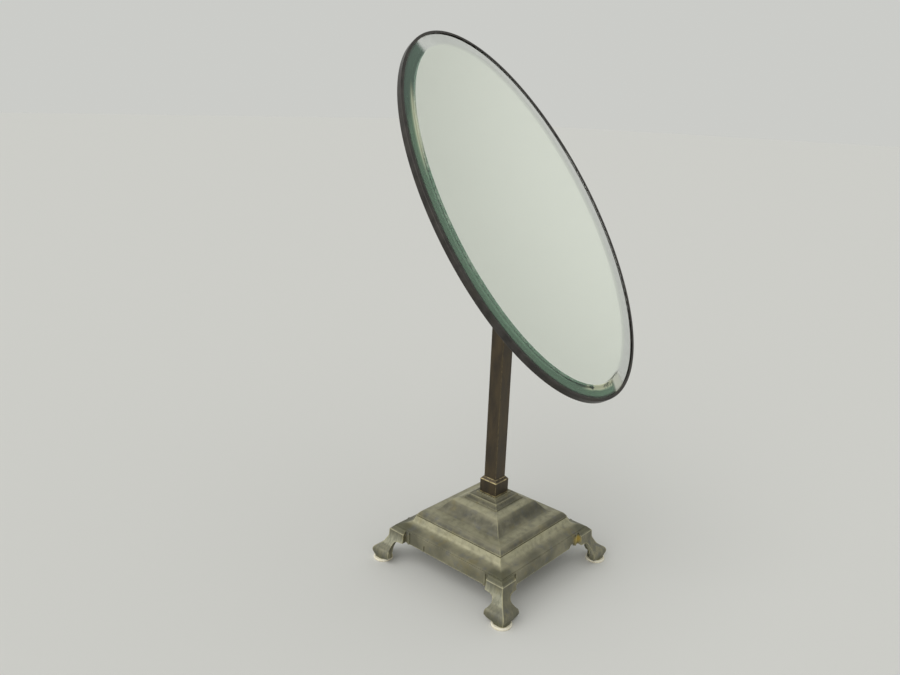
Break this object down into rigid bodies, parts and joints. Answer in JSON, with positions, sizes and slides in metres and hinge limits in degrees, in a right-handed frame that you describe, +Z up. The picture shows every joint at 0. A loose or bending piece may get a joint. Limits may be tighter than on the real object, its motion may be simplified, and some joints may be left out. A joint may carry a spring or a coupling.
{
  "type": "countertop mirror",
  "caption": "Oval bevelled mirror that tilts on a square post above a stepped square base with splayed bracket feet.",
  "frame": {"origin": "on the post's axis, at the height of the table under the four glides", "axes": "+Z up along the post, mirror faces -Y, +X to the right of someone looking along +Y into the mirror"},
  "size_m": [0.226, 0.213, 0.5013],
  "materials": {
    "patinated_brass": "weathered olive verdigris over cast brass, satin",
    "bronzed_post": "dark bronzed brass, semi-gloss, worn bright at the edges",
    "hinge_brass": "aged brass, satin",
    "rim_bronze": "dark grey-brown bronzed channel, satin",
    "steel_hardware": "dull zinc-plated steel",
    "cream_glide": "cream moulded plastic, slightly soiled",
    "bevelled_glass": "clear plate glass, faint green, polished bevel",
    "silver_backing": "silvered back of the glass",
    "cork_packing": "thin packing strip, matt",
    "pad_board": "grey-brown board, matt",
    "back_plate_enamel": "dark enamelled sheet, worn",
    "fibre_disc": "red-brown vulcanised fibre, matt"
  },
  "bodies": {
    "stand": {"base_shell": "patinated_brass", "foot_front_left": "patinated_brass", "foot_front_right": "patinated_brass", "foot_back_left": "patinated_brass", "foot_back_right": "patinated_brass", "glide_front_left": "cream_glide", "glide_front_right": "cream_glide", "glide_back_left": "cream_glide", "glide_back_right": "cream_glide", "glide_nails": "steel_hardware", "foot_screws": "steel_hardware", "post": "bronzed_post", "collar": "bronzed_post", "tie_rod": "steel_hardware", "base_washer": "steel_hardware", "tie_rod_nut": "steel_hardware", "post_head": "bronzed_post", "hinge_bolt": "steel_hardware", "flat_washer": "steel_hardware"},
    "mirror_head": {"mirror_rim": "rim_bronze", "mirror_glass": "bevelled_glass", "glass_packing": "cork_packing", "silvering": "silver_backing", "backing_pad": "pad_board", "back_plate": "back_plate_enamel", "bracket_rivets": "hinge_brass", "hinge_bracket": "hinge_brass", "friction_discs": "fibre_disc"},
    "clamp_knob": {"thumb_nut": "hinge_brass"}
  },
  "joints": [
    {"name": "mirror_tilt", "type": "hinge", "parent": "stand", "child": "mirror_head", "pos_m": [0, 0, 0.343], "axis": [1, 0, 0], "range_deg": [-24.8, 35.2]},
    {"name": "clamp_turn", "type": "hinge", "parent": "stand", "child": "clamp_knob", "pos_m": [0.012, 0, 0.343], "axis": [1, 0, 0], "range_deg": [0, 360]}
  ]
}
